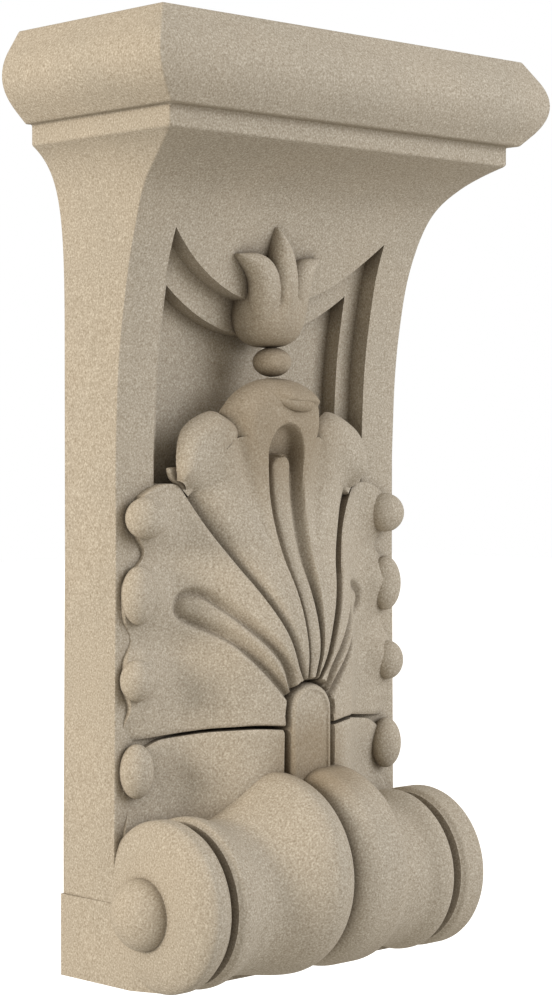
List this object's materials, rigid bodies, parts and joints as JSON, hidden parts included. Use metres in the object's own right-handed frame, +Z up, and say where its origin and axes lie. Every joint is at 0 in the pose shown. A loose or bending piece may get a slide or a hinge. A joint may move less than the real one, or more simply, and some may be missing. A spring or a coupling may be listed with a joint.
{
  "type": "stone corbel",
  "caption": "Carved stone wall bracket with a moulded cap, a stepped recess, a flower bud, an acanthus leaf and a rolled foot.",
  "frame": {"origin": "centre of the flat back face, where the corbel meets its wall", "axes": "+Z up, -Y out from the wall towards the front, X along the wall"},
  "size_m": [0.2624, 0.1185, 0.45],
  "materials": {
    "stone": "fine-grained carved sandstone, matt"
  },
  "bodies": {
    "root": {"corbel": "stone"}
  },
  "joints": []
}
